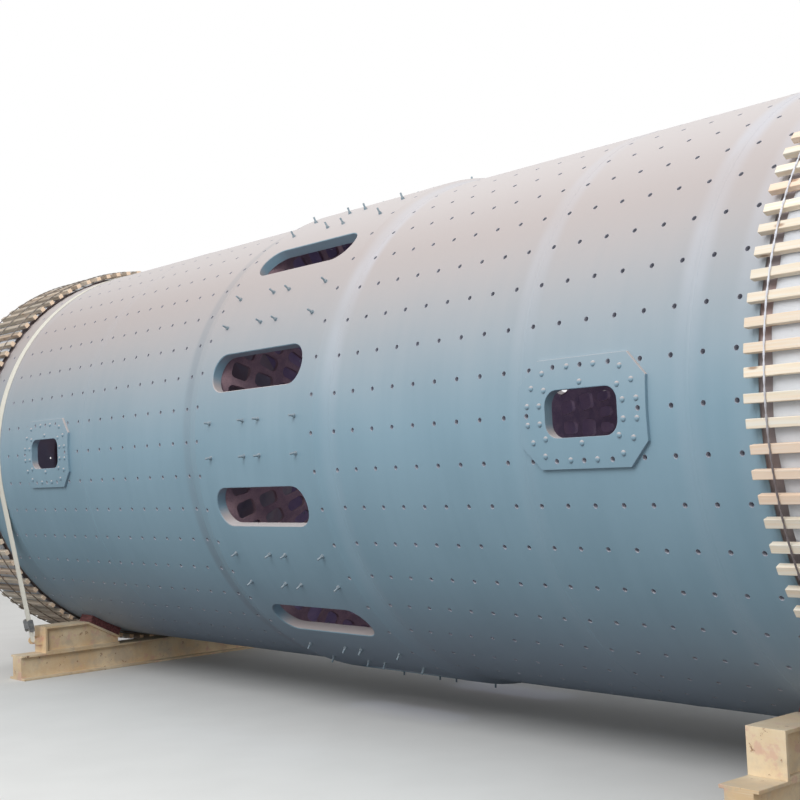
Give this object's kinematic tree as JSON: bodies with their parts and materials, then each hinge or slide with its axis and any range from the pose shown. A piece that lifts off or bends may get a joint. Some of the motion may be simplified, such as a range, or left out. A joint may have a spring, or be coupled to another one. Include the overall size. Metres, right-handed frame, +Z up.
{
  "type": "tube mill drum on transport cradles",
  "caption": "Welded horizontal drum of a middle-discharge tube mill with a ring of oval slots, manholes, timber-lagged slip rings, lying on two saddle cradles.",
  "frame": {"origin": "on the floor under the middle of the drum", "axes": "+X along the drum's axis, +Z up, the near side faces -Y"},
  "size_m": [13.5, 4.8976, 5.1138],
  "materials": {
    "shell_paint": "blue-grey workshop paint over rolled plate, with runs and scuffs",
    "ring_steel": "machined cast steel under a thin grey-blue coat",
    "diaphragm_iron": "bare iron with an even brown rust",
    "wrap_film": "white woven plastic sheet, wound tight",
    "slat_timber": "sawn softwood, unpainted",
    "lashing_wire": "annealed iron wire, dull",
    "strap_webbing": "cream polyester webbing, dusty",
    "buckle_steel": "zinc-plated steel, dull",
    "cradle_paint": "ochre paint, chipped and rusty at the edges",
    "pad_timber": "dark hardwood blocks"
  },
  "bodies": {
    "root": {"cradle_left_base": "cradle_paint", "cradle_left_bracket_far": "cradle_paint", "cradle_left_bracket_near": "cradle_paint", "cradle_left_pad_far": "pad_timber", "cradle_left_pad_near": "pad_timber", "cradle_right_base": "cradle_paint", "cradle_right_bracket_far": "cradle_paint", "cradle_right_bracket_near": "cradle_paint", "cradle_right_pad_far": "pad_timber", "cradle_right_pad_near": "pad_timber", "diaphragm_left": "diaphragm_iron", "diaphragm_right": "diaphragm_iron", "discharge_ring": "shell_paint", "end_head_left": "ring_steel", "end_head_right": "ring_steel", "lagging_left": "slat_timber", "lagging_right": "slat_timber", "lashing_left": "lashing_wire", "lashing_right": "lashing_wire", "manhole_pad_left_far": "shell_paint", "manhole_pad_left_near": "shell_paint", "manhole_pad_right_far": "shell_paint", "manhole_pad_right_near": "shell_paint", "shell_left_inner": "shell_paint", "shell_left_middle": "shell_paint", "shell_left_outer": "shell_paint", "shell_right_inner": "shell_paint", "shell_right_middle": "shell_paint", "shell_right_outer": "shell_paint", "slip_ring_left": "ring_steel", "slip_ring_right": "ring_steel", "strap_ratchet": "buckle_steel", "webbing_strap": "strap_webbing", "wrap_left": "wrap_film", "wrap_right": "wrap_film"}
  },
  "joints": []
}
